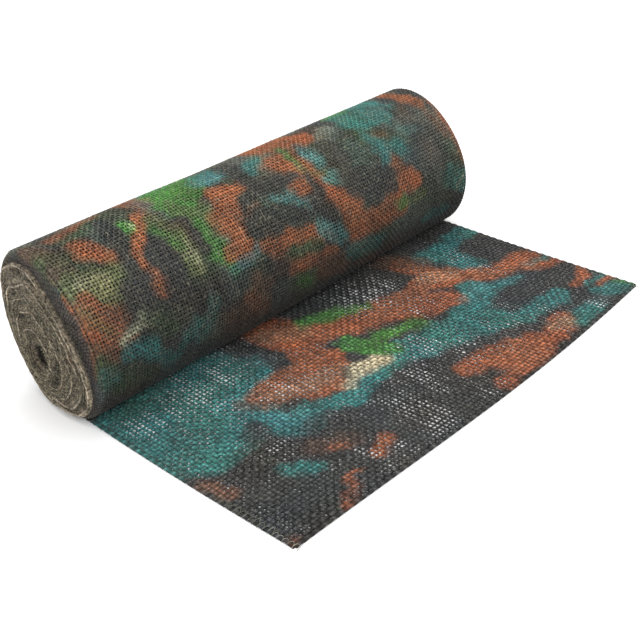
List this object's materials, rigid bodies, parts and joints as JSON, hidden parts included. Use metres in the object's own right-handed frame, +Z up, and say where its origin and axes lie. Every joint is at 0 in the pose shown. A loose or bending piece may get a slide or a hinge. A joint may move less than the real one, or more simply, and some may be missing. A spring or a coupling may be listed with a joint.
{
  "type": "jute camouflage net roll",
  "caption": "Roll of openly woven jute cloth in a camouflage print, lying on its side with its free end laid out flat in front.",
  "frame": {"origin": "middle of the footprint of the roll and its loose end, on the floor", "axes": "+X along the roll from its left end to its right end, +Y from the free edge back to the roll, +Z up"},
  "size_m": [0.404, 0.2794, 0.1159],
  "materials": {
    "rolled_jute": "coarse open plain weave, printed, dry and hairy",
    "laid_jute": "coarse open plain weave, printed, dry and hairy"
  },
  "bodies": {
    "root": {"roll": "rolled_jute", "loose_end": "laid_jute"}
  },
  "joints": []
}
